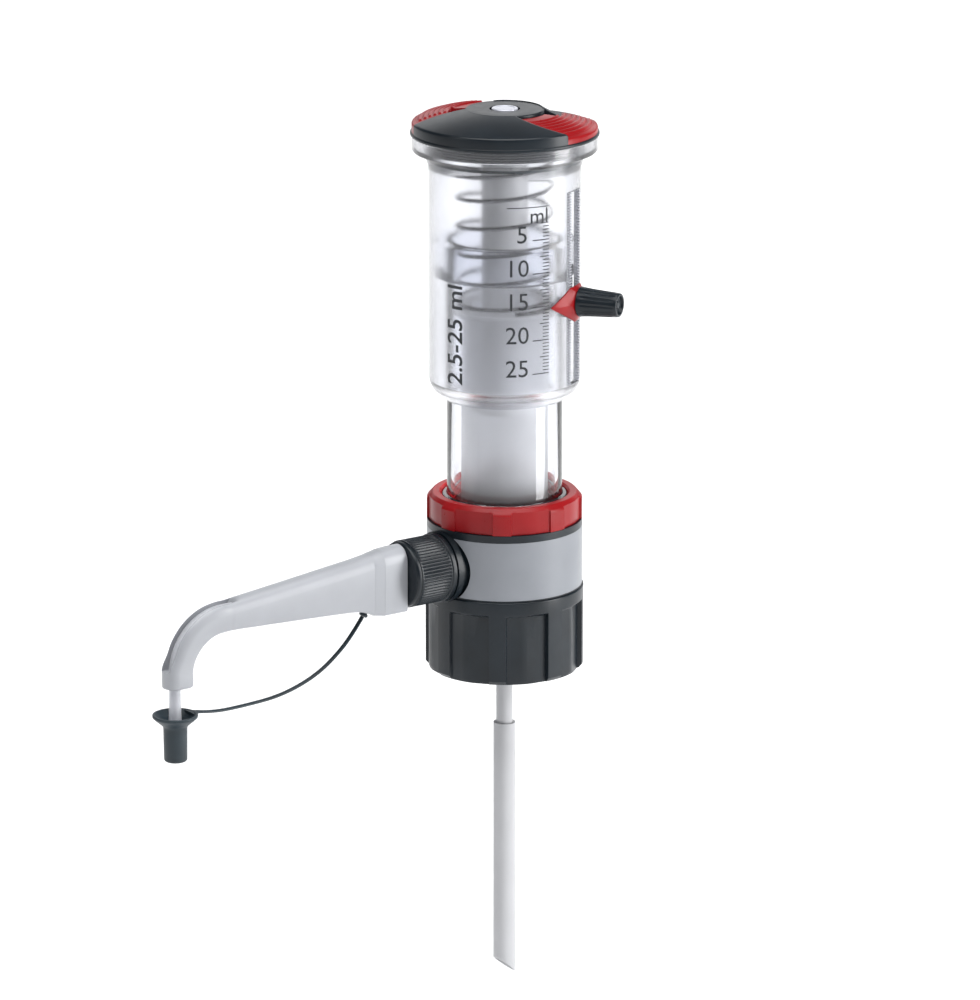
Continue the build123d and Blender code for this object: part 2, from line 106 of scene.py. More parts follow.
sleeve_radius, sleeve_bore = 27.0, 25.2
guide_radius, guide_bore = 20.66, 18.66
guide_ring_radius, guide_ring_bottom, guide_ring_top = 22.4, 62.2, 64.2
cylinder_radius, cylinder_bore = 15.8, 11.6
skirt_radius = 28.6                         # the ring under the head that stands in the sleeve's mouth
slot_low, slot_high = 107.0, 177.0          # ends of the stop's slot in the sleeve
rack_offset, rack_half_width = 3.95, 0.95   # a rack's middle from the slot's, and half its width
stop_azimuth, stop_z = math.radians(-59), 137.0
hub_radius = 14.0


# ---------------------------------------------------------------- materials
def noise(tree, scale, detail=2.0, stretch=(1, 1, 1)):
    """Noise in the part's own space; scale is per metre."""
    place = tree.nodes.new("ShaderNodeTexCoord")
    spread = tree.nodes.new("ShaderNodeMapping")
    spread.inputs["Scale"].default_value = stretch
    cloud = tree.nodes.new("ShaderNodeTexNoise")
    cloud.inputs["Scale"].default_value = scale
    cloud.inputs["Detail"].default_value = detail
    tree.links.new(place.outputs["Object"], spread.inputs["Vector"])
    tree.links.new(spread.outputs["Vector"], cloud.inputs["Vector"])
    return cloud.outputs["Fac"]


def material(name, colour, roughness, mottle=0.05, cloud=80, grain=2600, bump=0.012, stretch=(1, 1, 1),
             **sockets):
    """Principled material whose tone, roughness and surface vary with noise, at the scale of the finish."""
    made = bpy.data.materials.new(name)
    made.use_nodes = True
    tree = made.node_tree
    shader = tree.nodes["Principled BSDF"]
    for socket, value in sockets.items():
        shader.inputs[socket.replace("_", " ")].default_value = value
    tone = tree.nodes.new("ShaderNodeValToRGB")
    tone.color_ramp.elements[0].position = 0.3
    tone.color_ramp.elements[1].position = 0.7
    tone.color_ramp.elements[0].color = [c * (1 - mottle) for c in colour] + [1]
    tone.color_ramp.elements[1].color = [min(1.0, c * (1 + mottle)) for c in colour] + [1]
    tree.links.new(noise(tree, cloud, 3, stretch), tone.inputs["Fac"])
    tree.links.new(tone.outputs["Color"], shader.inputs["Base Color"])
    rough = tree.nodes.new("ShaderNodeMapRange")
    rough.inputs["To Min"].default_value = roughness[0]
    rough.inputs["To Max"].default_value = roughness[1]
    tree.links.new(noise(tree, cloud * 4, 4, stretch), rough.inputs["Value"])
    tree.links.new(rough.outputs["Result"], shader.inputs["Roughness"])
    relief = tree.nodes.new("ShaderNodeBump")
    relief.inputs["Strength"].default_value = 0.4
    relief.inputs["Distance"].default_value = bump * MM
    tree.links.new(noise(tree, grain, 2, stretch), relief.inputs["Height"])
    tree.links.new(relief.outputs["Normal"], shader.inputs["Normal"])
    return made


MATERIALS = {
    "black_plastic": material("black_plastic", (0.006, 0.010, 0.014), (0.26, 0.38), 0.25, bump=0.02,
                              IOR=1.38),
    "grey_plastic": material("grey_plastic", (0.20, 0.212, 0.233), (0.30, 0.42), 0.04, IOR=1.5),
    "red_plastic": material("red_plastic", (0.25, 0.005, 0.007), (0.24, 0.36), 0.10, IOR=1.32),
    "clear_plastic": material("clear_plastic", (0.885, 0.893, 0.92), (0.14, 0.22), 0.02, cloud=30,
                              grain=260, bump=0.004, Transmission_Weight=1.0, IOR=1.45),
    "frosted_plastic": material("frosted_plastic", (0.64, 0.645, 0.66), (0.30, 0.42), 0.02, bump=0.02,
                                Transmission_Weight=0.72, IOR=1.3),
    "white_plastic": material("white_plastic", (0.32, 0.33, 0.352), (0.26, 0.38), 0.03, IOR=1.5,
                              Subsurface_Weight=0.15, Subsurface_Radius=(0.6, 0.6, 0.7),
                              Subsurface_Scale=0.002),
    "dark_rubber": material("dark_rubber", (0.010, 0.020, 0.027), (0.36, 0.52), 0.2, bump=0.02, IOR=1.45),
    "spring_steel": material("spring_steel", (0.13, 0.13, 0.14), (0.20, 0.36), 0.2, stretch=(1, 1, 6),
                             Metallic=1.0),
    "silver_plastic": material("silver_plastic", (0.55, 0.56, 0.62), (0.24, 0.36), 0.04, IOR=1.5,
                               Metallic=0.3),
    "ceramic": material("ceramic", (0.80, 0.79, 0.76), (0.12, 0.22), 0.03, IOR=1.6),
}


def darken_foot(name, low, high, share):
    """Painted shade: tone of a material falls to a share of itself from one height down to a lower one, in
    millimetres.
    """
    tree = MATERIALS[name].node_tree
    shader = tree.nodes["Principled BSDF"]
    tone = shader.inputs["Base Color"].links[0].from_socket
    place = tree.nodes.new("ShaderNodeTexCoord")
    split = tree.nodes.new("ShaderNodeSeparateXYZ")
    rise = tree.nodes.new("ShaderNodeMapRange")
    rise.interpolation_type = "SMOOTHSTEP"
    rise.inputs["From Min"].default_value = low * MM
    rise.inputs["From Max"].default_value = high * MM
    rise.inputs["To Min"].default_value = share
    scaled = tree.nodes.new("ShaderNodeVectorMath")
    scaled.operation = "SCALE"
    tree.links.new(place.outputs["Object"], split.inputs["Vector"])
    tree.links.new(split.outputs["Z"], rise.inputs["Value"])
    tree.links.new(tone, scaled.inputs[0])
    tree.links.new(rise.outputs["Result"], scaled.inputs["Scale"])
    tree.links.new(scaled.outputs["Vector"], shader.inputs["Base Color"])


# Painted shade: the frosted plastic darkens toward the cylinder's foot, inside the nut, where the dark
# valve block lies behind it.
darken_foot("frosted_plastic", 60.5, 74.0, 0.03)
SLOT_OF = {row["node"]: row["material_slot"] for row in frame["record"]["subparts"]}
ink = material("print_ink", (0.012, 0.014, 0.018), (0.5, 0.6), 0.2, bump=0.002)
rod_plastic = material("rod_plastic", (0.58, 0.585, 0.60), (0.34, 0.46), 0.02, Transmission_Weight=0.25,
                       IOR=1.35)
tip_plastic = material("tip_plastic", (0.62, 0.63, 0.66), (0.25, 0.36), 0.02, Transmission_Weight=0.6,
                       IOR=1.35)
bush_plastic = material("bush_plastic", (0.91, 0.92, 0.95), (0.16, 0.26), 0.02, Transmission_Weight=1.0,
                        IOR=1.06)
skirt_plastic = material("skirt_plastic", (0.035, 0.038, 0.045), (0.12, 0.22), 0.3, cloud=20,
                         stretch=(1, 1, 40), IOR=1.7)
rack_plastic = material("rack_plastic", (0.42, 0.43, 0.47), (0.2, 0.3), 0.05, IOR=1.5)
clear_tube = material("clear_tube", (0.905, 0.915, 0.945), (0.01, 0.04), 0.02, cloud=30, grain=200,
                      bump=0.003, Transmission_Weight=1.0, IOR=1.47)


# ---------------------------------------------------------------- mesh helpers
def polar(radius, azimuth, z):
    return Vector((radius * math.cos(azimuth), radius * math.sin(azimuth), z))


def ease(t):
    t = min(1.0, max(0.0, t))
    return t * t * (3 - 2 * t)


def between(a, b, t):
    return a + (b - a) * t


def steps(low, high, count):
    return [between(low, high, i / count) for i in range(count + 1)]


def rounded(corners, turns=4):
    """Closed outline from (a, b) corners; a corner with a third number is rounded to that radius."""
    outline = []
    for i, corner in enumerate(corners):
        here = Vector(corner[:2])
        if len(corner) == 2:
            outline.append(here)
            continue
        radius = corner[2]
        before = (Vector(corners[i - 1][:2]) - here).normalized()
        after = (Vector(corners[(i + 1) % len(corners)][:2]) - here).normalized()
        half = before.angle(after) / 2
        centre = here + (before + after).normalized() * radius / math.sin(half)
        start = here + before * radius / math.tan(half) - centre
        end = here + after * radius / math.tan(half) - centre
        for t in steps(0, 1, turns):
            outline.append(centre + start.lerp(end, t).normalized() * radius)
    return outline


def smooth_rows(rows, parts):
    """Rows of numbers with more put smoothly between them (Catmull-Rom)."""
    finer = []
    for i in range(len(rows) - 1):
        p0, p1, p2 = rows[max(i - 1, 0)], rows[i], rows[i + 1]
        p3 = rows[min(i + 2, len(rows) - 1)]
        for k in range(parts):
            t = k / parts
            row = []
            for a, b, c, d in zip(p0, p1, p2, p3):
                row.append(b + t * ((c - a) / 2 + t * (a - 2.5 * b + 2 * c - d / 2
                                                      + t * (1.5 * b - 1.5 * c + (d - a) / 2))))
            finer.append(row)
    return finer + [list(rows[-1])]


def skin(rows, loop_rows=False, caps=False):
    """Mesh over rows of points, each row a closed loop. A row whose points coincide becomes one vertex."""
    mesh = bmesh.new()
    made = []
    for row in rows:
        if all((p - row[0]).length < 1e-6 for p in row):
            made.append([mesh.verts.new(row[0])] * len(row))
        else:
            made.append([mesh.verts.new(p) for p in row])
    others = made[1:] + made[:1] if loop_rows else made[1:]
    for here, there in zip(made, others):
        for j in range(len(here)):
            k = (j + 1) % len(here)
            corners = list(dict.fromkeys([here[j], here[k], there[k], there[j]]))
            if len(corners) > 2:
                mesh.faces.new(corners)
    if caps:
        for row in (made[0], made[-1]):
            if len(set(row)) > 2:
                mesh.faces.new(row)
    bmesh.ops.recalc_face_normals(mesh, faces=mesh.faces)
    return mesh


def turned(profile, shape=None, azimuths=None):
    """Solid turned about Z from a closed (radius, z) profile; shape changes a radius with its azimuth."""
    azimuths = azimuths or steps(0, TURN, SEGMENTS)[:-1]
    rows = []
    for radius, z in profile:
        rows.append([polar(shape(radius, z, a) if shape else radius, a, z) for a in azimuths])
    return skin(rows, loop_rows=True)


def joined(*meshes):
    """One mesh from several."""
    whole = bmesh.new()
    for mesh in meshes:
        data = bpy.data.meshes.new("part")
        mesh.to_mesh(data)
        whole.from_mesh(data)
        mesh.free()
        bpy.data.meshes.remove(data)
    return whole


def tube(centres, section, sides=16):
    """Round or flat tube along points; section(i) gives its half width and half height there."""
    rows = []
    side = Vector((0, 1, 0))
    for i, centre in enumerate(centres):
        ahead = centres[min(i + 1, len(centres) - 1)] - centres[max(i - 1, 0)]
        if abs(ahead.normalized().dot(side)) > 0.6:
            across = ahead.cross(Vector((0, 0, 1))).normalized()
        else:
            across = (side - ahead * side.dot(ahead) / ahead.length_squared).normalized()
        up = ahead.cross(across).normalized()
        half_width, half_height = section(i)
        row = []
        for a in steps(0, TURN, sides)[:-1]:
            row.append(centre + across * half_width * math.cos(a) + up * half_height * math.sin(a))
        rows.append(row)
    return skin(rows, caps=True)


def piece(name, mesh, finish, body, replaced=(), matrix=IDENTITY, sharp=32, ride=True, clear=False):
    """Object from a mesh in millimetres. finish names a material or is one; clear casts no shadow."""
    data = bpy.data.meshes.new(name)
    mesh.to_mesh(data)
    mesh.free()
    data.transform(Matrix.Scale(MM, 4) @ matrix)
    data.materials.append(MATERIALS[finish] if isinstance(finish, str) else finish)
    data.polygons.foreach_set("use_smooth", [True] * len(data.polygons))
    data.set_sharp_from_angle(angle=math.radians(sharp))
    made = bpy.data.objects.new(name, data)
    made.visible_shadow = not clear
    bpy.context.scene.collection.objects.link(made)
    if ride:
        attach(made, body)
    if replaced:
        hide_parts(*replaced)
    return made


OUTLET = Matrix.Translation((0, 0, outlet_z)) @ Matrix.Rotation(-TURN / 4, 4, "Y")
STOP = (Matrix.Rotation(stop_azimuth, 4, "Z") @ Matrix.Translation((0, 0, stop_z))
        @ Matrix.Rotation(TURN / 4, 4, "Y"))


def chord(azimuth, corners, period):
    """Radius on a polygon of (degrees, radius) corners that repeats every period degrees."""
    angle = (math.degrees(azimuth) - corners[0][0]) % period + corners[0][0]
    ends = corners + [(corners[0][0] + period, corners[0][1])]
    for (a, r), (b, q) in zip(ends, ends[1:]):
        if angle <= b:
            break
    if r == q:
        return r
    full, part = math.radians(b - a), math.radians(angle - a)
    return r * q * math.sin(full) / (r * math.sin(part) + q * math.sin(full - part))


def corner_azimuths(corners, period, parts=5):
    """Azimuths that fall on every corner, with parts between two corners."""
    ends = corners + [(corners[0][0] + period, corners[0][1])]
    found = []
    for turn in range(round(360 / period)):
        for (a, _), (b, _) in zip(ends, ends[1:]):
            count = parts if b - a > 2 else 1
            found += [math.radians(x + turn * period) for x in steps(a, b, count)[:-1]]
    return found


def ridge_thread(radius, depth, low, high, pitch):
    """Helical thread ridge that stands inward from a bore and fades out at both ends."""
    count = int((high - low) / pitch * 48)
    rows = []
    for i in range(count + 1):
        z = between(low, high, i / count)
        fade = depth * ease(min(i, count - i) / 14) + 0.02
        a = TURN * (z - low) / pitch
        rows.append([polar(radius + 0.02, a, z - 1.3), polar(radius - fade, a, z - 0.45),
                     polar(radius - fade, a, z + 0.45), polar(radius + 0.02, a, z + 1.3)])
    return skin(rows, caps=True)


EIGHTH = 360 / 8        # the outlines of the collar and the nut repeat eight times round


# ---------------------------------------------------------------- screw collar
def collar():
    """Threaded collar with eight shallow recesses round it, which close below its upper edge."""
    corners = [(-2.5, 28.4), (10.1, 28.4), (10.6, 27.5), (23.1, 27.75), (42.1, 26.75), (42.5, 28.3)]
    recess_low, recess_high = 24.7, 25.8

    def shape(radius, z, azimuth):
        if radius < 26:
            return radius
        flat = min(collar_radius, chord(azimuth, corners, EIGHTH))
        closing = ease((z - recess_low) / (recess_high - recess_low))
        return min(radius, between(flat, collar_radius, closing))

    lip, relief, bore = 21.2, 23.0, 22.5
    relief_low, relief_high = 22.6, 27.6
    wall = [(collar_radius, z) for z in (1.4, 8.0, 16.0, recess_low, 24.9, 25.2, 25.5, recess_high, 26.2)]
    profile = rounded([(bore, 0.0), (collar_radius - 1.2, 0.0, 0.3)] + wall + [
        (collar_radius, collar_top, 0.5), (lip, collar_top), (lip, relief_high), (relief, relief_high),
        (relief, relief_low), (bore, relief_low)])
    body = turned(profile, shape, corner_azimuths(corners, EIGHTH))
    thread = ridge_thread(bore, 1.1, 3.0, 19.5, 4.0)
    piece("collar_shell", joined(body, thread), "black_plastic", "bottle_collar", ["bottle_collar"])


# ---------------------------------------------------------------- red union nut
def nut():
    """Union nut with eight ribs, which run out into its plain upper edge."""
    corners = [(0.2, 27.9), (13.8, 27.9), (14.2, 27.25), (24.0, 27.0), (35.2, 27.0), (44.8, 27.25)]
    edge_radius, ribs_high, bevel = 27.3, nut_top - 2.4, 1.5
    thread, opening, shoulder = 24.65, 22.7, 62.3

    def shape(radius, z, azimuth):
        if radius < thread + 0.35:
            return radius
        rib = min(nut_radius, chord(azimuth, corners, EIGHTH))
        standing = (rib - edge_radius) * (1 - ease((z - ribs_high) / 1.2))
        return min(rib, radius - nut_radius + edge_radius + standing)

    profile = rounded([
        (thread, nut_bottom), (nut_radius, nut_bottom, 0.2), (nut_radius, 60.0), (nut_radius, ribs_high),
        (nut_radius, nut_top - bevel, 0.6), (nut_radius - bevel, nut_top, 0.7),
        (opening + 0.7, nut_top, 0.3), (opening, nut_top - 0.8), (opening, shoulder), (thread, shoulder)])
    piece("nut_shell", turned(profile, shape, corner_azimuths(corners, EIGHTH)), "red_plastic",
          "dispenser", ["cylinder_nut"], sharp=24)


# ---------------------------------------------------------------- guide tube, bush and dispensing cylinder
def guide():
    profile = rounded([
        (guide_bore, guide_bottom), (guide_foot_radius, guide_bottom),
        (guide_foot_radius, guide_ring_bottom), (guide_ring_radius, guide_ring_bottom),
        (guide_ring_radius, guide_ring_top, 0.5),
        (guide_radius, guide_ring_top, 0.4), (guide_radius, guide_top, 0.3), (guide_bore, guide_top, 0.3)])
    piece("guide_tube_clear", turned(profile), clear_tube, "dispenser", ["guide_tube"], clear=True)
    bush_bore = guide_radius + 0.05
    profile = rounded([(bush_bore, bush_bottom), (bush_radius, bush_bottom, 0.6),
                       (bush_radius, bush_top, 0.6), (bush_bore, bush_top)])
    piece("guide_bush_ring", turned(profile), bush_plastic, "dispenser", ["guide_bush"], clear=True)


def cylinder():
    inlet_radius, foot_top, floor = 2.0, 60.6, 58.6
    flange, flange_low = 18.3, cylinder_top - 1.8
    profile = rounded([
        (inlet_radius, cylinder_bottom), (cylinder_foot_radius, cylinder_bottom),
        (cylinder_foot_radius, foot_top, 0.3), (cylinder_radius, foot_top, 0.3),
        (cylinder_radius, flange_low, 0.3), (flange, flange_low, 0.3), (flange, cylinder_top, 0.3),
        (cylinder_bore, cylinder_top, 0.4), (cylinder_bore, floor, 0.5), (inlet_radius, floor)])
    piece("cylinder_frosted", turned(profile), "frosted_plastic", "dispenser", ["dispensing_cylinder"],
          clear=True)


def wound(azimuths, heights, radius, wire):
    """Round wire wound about Z, from the azimuth and the height of each step along it."""
    rows = []
    for a, z in zip(azimuths, heights):
        out = polar(1, a, 0)
        rows.append([polar(radius, a, z) + out * wire * math.cos(b) + Vector((0, 0, wire * math.sin(b)))
                     for b in steps(0, TURN, 10)[:-1]])
    return skin(rows, caps=True)


def spring():
    """Lifting spring: a right-handed coil with closed ends, one of whose coils is seen 175 mm up."""
    wire, seen_coil = 0.7, 175.0
    turns, closed_pitch = 7.75, 1.45
    low, high = spring_bottom + wire, spring_top - wire
    count = 760
    weights = []
    for i in range(count):
        turn = turns * i / count
        opening = ease((turn - 0.75) / 0.5) * ease((turns - 0.75 - turn) / 0.5)
        weights.append(opening)
    closed = closed_pitch * turns / count
    open_rise = (high - low - closed * count) / sum(weights)
    heights = [low]
    for weight in weights:
        heights.append(heights[-1] + closed + open_rise * weight)
    near = min(range(count), key=lambda i: abs(heights[i] - seen_coil))
    azimuths = [math.radians(FRONT) + TURN * turns * (i - near) / count for i in range(count + 1)]
    mesh = wound(azimuths, heights, spring_radius - wire, wire)
    made = piece("lifting_coil", mesh, "spring_steel", None, ["lifting_spring"], ride=False)
    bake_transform(made)


def valve_spring():
    """Small coil between the outlet valve's ball and the discharge tube."""
    low, high = box("outlet_valve_spring")
    wire, turns = 0.35, 4
    start, end = -high.x, -low.x
    mesh = wound(steps(0, TURN * turns, 120), steps(start + wire, end - wire, 120), high.y - wire, wire)
    made = piece("valve_coil", mesh, "spring_steel", None, ["outlet_valve_spring"], OUTLET, ride=False)
    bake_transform(made)


# ---------------------------------------------------------------- sleeve
def sleeve():
    """Clear sleeve with the stop's slot through its wall."""
    mouth, flare_start, lip = 21.0, 181.0, sleeve_top - 5.4
    seat = skirt_bottom - 0.05
    outside = rounded([
        (mouth, sleeve_bottom, 0.3), (22.4, sleeve_bottom, 0.5), (25.6, sleeve_bottom + 3.0, 1.5),
        (26.7, sleeve_bottom + 5.2, 2.0), (sleeve_radius, sleeve_bottom + 8.0)], 5)
    # The mouth's own edge is sharp, and the straight wall has a ring of points at each end of the slot.
    outside = [Vector((mouth, sleeve_bottom))] + outside[5:-1]
    outside += [Vector((sleeve_radius, z)) for z in (slot_low, slot_high, flare_start)]
    outside += rounded([
        (sleeve_radius, flare_start), (27.1, 183.6, 6.0), (28.2, 187.6, 4.0), (29.6, lip, 0.8),
        (flange_radius, lip, 0.4), (flange_radius, sleeve_top, 0.3), (30.0, sleeve_top)], 5)[1:]
    inside = [(skirt_radius, sleeve_top), (skirt_radius, seat), (sleeve_bore, seat),
              (sleeve_bore, slot_high), (sleeve_bore, slot_low), (sleeve_bore, sleeve_bottom + 6.4),
              (23.8, sleeve_bottom + 4.2), (mouth, sleeve_bottom + 1.8)]
    profile = outside + [Vector(p) for p in inside]
    half_slot = (rack_offset + rack_half_width + 0.05) / sleeve_radius
    slot_span = steps(stop_azimuth - half_slot, stop_azimuth + half_slot, 3)
    rest_span = steps(slot_span[-1], slot_span[0] + TURN, SEGMENTS - 4)
    azimuths = slot_span[:-1] + rest_span[:-1]
    mesh = turned(profile, None, azimuths)
    mesh.faces.ensure_lookup_table()
    gone = []
    for face in mesh.faces:
        centre = face.calc_center_median()
        turn = (math.atan2(centre.y, centre.x) - stop_azimuth + TURN / 2) % TURN - TURN / 2
        on_wall = sleeve_bore - 0.2 < math.hypot(centre.x, centre.y) < sleeve_radius + 0.2
        if abs(turn) < half_slot and slot_low < centre.z < slot_high and on_wall:
            gone.append(face)
    bmesh.ops.delete(mesh, geom=gone, context="FACES")
    edges = [e for e in mesh.edges if e.is_boundary]
    bmesh.ops.bridge_loops(mesh, edges=edges)
    bmesh.ops.recalc_face_normals(mesh, faces=mesh.faces)
    piece("sleeve_clear", mesh, "clear_plastic", "plunger", ["scale_sleeve"], clear=True)

    seam_in, seam_out, seam_low, seam_high = bush_radius + 0.05, sleeve_bore - 0.02, 186.6, 188.0
    seam = [(seam_in, seam_low), (seam_out, seam_low), (seam_out, seam_high), (seam_in, seam_high)]
    piece("sleeve_seam", turned([Vector(p) for p in seam]), "dark_rubber", "plunger")
    outer, depth, pitch = skirt_radius - 0.05, 0.35, 0.9
    skirt = [(sleeve_bore, skirt_bottom + 0.1)]
    for i in range(int((sleeve_top - skirt_bottom) / pitch)):
        low = skirt_bottom + 0.1 + i * pitch
        skirt += [(outer - depth, low), (outer, low + 0.3), (outer, low + 0.6)]
    skirt += [(outer - depth, sleeve_top), (sleeve_bore, sleeve_top)]
    piece("head_skirt", turned([Vector(p) for p in skirt]), skirt_plastic, "plunger")


def racks():
    """Two toothed strips, one each side of the slot."""
    pitch, back, valley, tip = 1.0, 25.3, 25.7, 26.95
    outline = [(back, slot_low), (valley, slot_low)]
    for i in range(int((slot_high - slot_low) / pitch)):
        low = slot_low + i * pitch
        outline += [(valley, low + 0.1), (tip, low + 0.35), (tip, low + 0.6), (valley, low + 0.85)]
    outline += [(valley, slot_high), (back, slot_high)]
    strips = []
    for side in (-1, 1):
        rows = []
        for across in (side * rack_offset - rack_half_width, side * rack_offset + rack_half_width):
            rows.append([Vector((r, across, z)) for r, z in outline])
        strips.append(skin(rows, caps=True))
    place = Matrix.Rotation(stop_azimuth, 4, "Z")
    piece("rack_strips", joined(*strips), rack_plastic, "plunger", ["stop_racks"], place, sharp=20)


# ---------------------------------------------------------------- head
def edge_drop(distance, radius):
    """How far a rounded edge lies under its face, at a distance in from the edge."""
    if distance >= radius:
        return 0.0
    return radius - math.sqrt(max(0.0, radius ** 2 - (radius - distance) ** 2))


def sector(radii, shares, start, end, height):
    """Block on the head's base between two edges, whose azimuths in degrees depend on the radius."""
    rows = []
    for share in shares:
        row = []
        for radius in radii:
            azimuth = between(start(radius), end(radius), share)
            row.append(polar(radius, math.radians(azimuth), height(radius, share)))
        for radius in (radii[-1], radii[0]):
            azimuth = between(start(radius), end(radius), share)
            row.append(polar(radius, math.radians(azimuth), rim_top - 0.3))
        rows.append(row)
    return skin(rows, caps=True)


def toward_rim(hub_value, rim_value):
    """Function of radius that runs from a value at the hub to one at the rim."""
    return lambda radius: between(hub_value, rim_value, (radius - hub_radius) / (lobe_radius - hub_radius))


step_edge = toward_rim(-108, -84)       # where a wing starts, below the high end of a lobe
flush_edge = toward_rim(-36, -22)       # where a wing ends, level with the next lobe
EDGE_SHARES = (0.0, 0.0015, 0.004, 0.009)


def head():
    """Rim, the two black lobes with their hub, the two ribbed red wings, and the plain badge."""
    rim = rounded([(0, sleeve_top), (rim_radius, sleeve_top, 0.4), (rim_radius, rim_top, 0.5),
                   (0, rim_top)])
    piece("head_rim", turned(rim), "black_plastic", "plunger", ["head_base"])

    edge = [lobe_radius - x for x in (0.7, 0.45, 0.22, 0.07, 0.0)]
    lobe_radii = steps(hub_radius - 0.6, lobe_radius - 0.9, 22) + edge
    shares = sorted(set(EDGE_SHARES) | {1 - x for x in EDGE_SHARES} | set(steps(0, 1, 44)))

    def lobe_height(radius, share, edge, crown):
        out = (radius - hub_radius) / (lobe_radius - hub_radius)
        z = between(head_top - 0.1, edge, out) + crown * (1 - (2 * out - 1) ** 2)
        along = min(share, 1 - share) * math.radians(118) * radius
        return z - edge_drop(lobe_radius - radius, 0.7) - edge_drop(along, 0.35)

    lobes = []
    for half_turn, edge, crown in ((0, 200.1, 0.3), (-180, 197.7, -1.4)):
        lobes.append(sector(lobe_radii, shares, lambda r, h=half_turn: flush_edge(r) + h - 180,
                            lambda r, h=half_turn: step_edge(r) + h,
                            lambda r, s, e=edge, c=crown: lobe_height(r, s, e, c)))
    well = button_radius + 0.5
    hub = turned(rounded([(0, rim_top - 0.3), (hub_radius, rim_top - 0.3), (hub_radius, head_top, 0.5),
                          (well, head_top, 0.15), (well, button_bottom), (0, button_bottom)]))
    piece("head_lobes", joined(hub, *lobes), "black_plastic", "plunger", ["head_saddle"], sharp=38)

    inner, rib_start, rib_end, rib_pitch = hub_radius + 1.0, 18.5, 31.4, 1.78
    wing_radii = steps(inner, rib_start, 6)[:-1] + steps(rib_start, rib_end, 70)
    wing_radii += steps(rib_end + 0.2, wing_radius - 0.9, 3)
    wing_radii += [wing_radius - x for x in (0.6, 0.4, 0.2, 0.06, 0.0)]

    def wing_height(radius, share, edge):
        out = (radius - inner) / (wing_radius - inner)
        z = between(203.3, edge, out) + 0.85 * (1 - (2 * out - 1) ** 2)
        rib = 0.5 - 0.5 * math.cos(TURN * (radius - rib_start) / rib_pitch)
        if rib_start < radius < rib_end:
            z += 0.55 * rib ** 0.7 * ease((radius - rib_start) / 0.8) * ease((0.965 - share) / 0.05)
        pit = ease((share - 0.70) / 0.06) * ease((20.2 - radius) / 0.8)
        z = between(z, rim_top, pit)
        along = min(share, 1 - share) * math.radians(62) * radius
        return z - edge_drop(wing_radius - radius, 0.6) - edge_drop(along, 0.3)

    wings = []
    wing_shares = sorted(set(EDGE_SHARES) | {1 - x for x in EDGE_SHARES} | set(steps(0, 1, 60)))
    for half_turn, edge in ((0, 198.3), (180, 199.6)):
        wings.append(sector(wing_radii, wing_shares, lambda r, h=half_turn: step_edge(r) + h + 0.4,
                            lambda r, h=half_turn: flush_edge(r) + h - 0.4,
                            lambda r, s, e=edge: wing_height(r, s, e)))
    piece("head_wings", joined(*wings), "red_plastic", "plunger", ["head_grip"], sharp=45)

    raised, dished = button_top - 0.2, button_top - 0.4
    badge_radius = button_radius - 0.2
    button = rounded([(0, button_bottom), (badge_radius, button_bottom), (badge_radius, raised, 0.4),
                      (3.6, raised, 0.3), (3.3, dished, 0.2), (0, dished)])
    piece("head_badge", turned(button), "silver_plastic", "plunger", ["head_button"])


# ---------------------------------------------------------------- volume stop
def stop():
    """Red saddle that points at the scale, drawn up to the knob's foot, and the fluted knob."""
    # outline round the knob's axis: distance toward the scale, height, rounding
    corners = rounded([(14.8, 0.0, 0.5), (4.6, 5.7, 1.2), (-4.0, 5.9, 1.0), (-4.3, -6.4, 1.0),
                       (1.5, -7.2, 1.2)], 5)
    outline = []
    for a, b in zip(corners, corners[1:] + corners[:1]):
        count = max(1, int((b - a).length / 0.8))
        outline += [a.lerp(b, t) for t in steps(0, 1, count)[:-1]]
    foot_radius = 5.25
    # how far the outline is drawn in to the foot, and the distance from the bottle's axis there
    levels = [(0.0, 27.35), (0.0, 27.75), (0.06, 27.9), (0.3, 28.05), (0.55, 28.3), (0.8, 28.6),
              (1.0, 29.0)]
    rows = []
    for share, height in levels:
        row = []
        for point in outline:
            flat = point.lerp(point.normalized() * foot_radius, share)
            on_sleeve = polar(height, -flat.x / sleeve_radius, flat.y)
            upright = Vector((height, -flat.x, flat.y))
            row.append(on_sleeve.lerp(upright, share ** 2))
        rows.append(row)
    place = Matrix.Rotation(stop_azimuth, 4, "Z") @ Matrix.Translation((0, 0, stop_z))
    piece("stop_saddle", skin(rows, caps=True), "red_plastic", "volume_stop", ["stop_pointer"], place,
          sharp=50)

    start, end, flutes = 29.3, 44.2, 12
    face_radius = 3.6

    def shape(radius, z, azimuth):
        if radius < face_radius:
            return radius
        open_end = ease((z - start - 1.2) / 1.2) * ease((end - 1.4 - z) / 0.8)
        groove = max(0.0, math.cos(flutes * azimuth)) ** 2
        return radius - 0.30 * groove * open_end

    side = []
    for t in steps(0, 1, 14)[:-1]:
        side.append((between(5.15, 4.35, t) + 0.25 * (1 - t) ** 6, between(start, end - 0.6, t)))
    profile = rounded([(0, start)] + side + [
        (4.25, end - 0.05, 0.45), (3.3, end, 0.25), (3.05, end - 1.0, 0.2), (1.5, end - 1.15),
        (1.2, end - 0.6, 0.3), (0, end - 0.5)])
    piece("stop_knob_fluted", turned(profile, shape), "black_plastic", "stop_knob", ["stop_knob"], STOP,
          sharp=30)


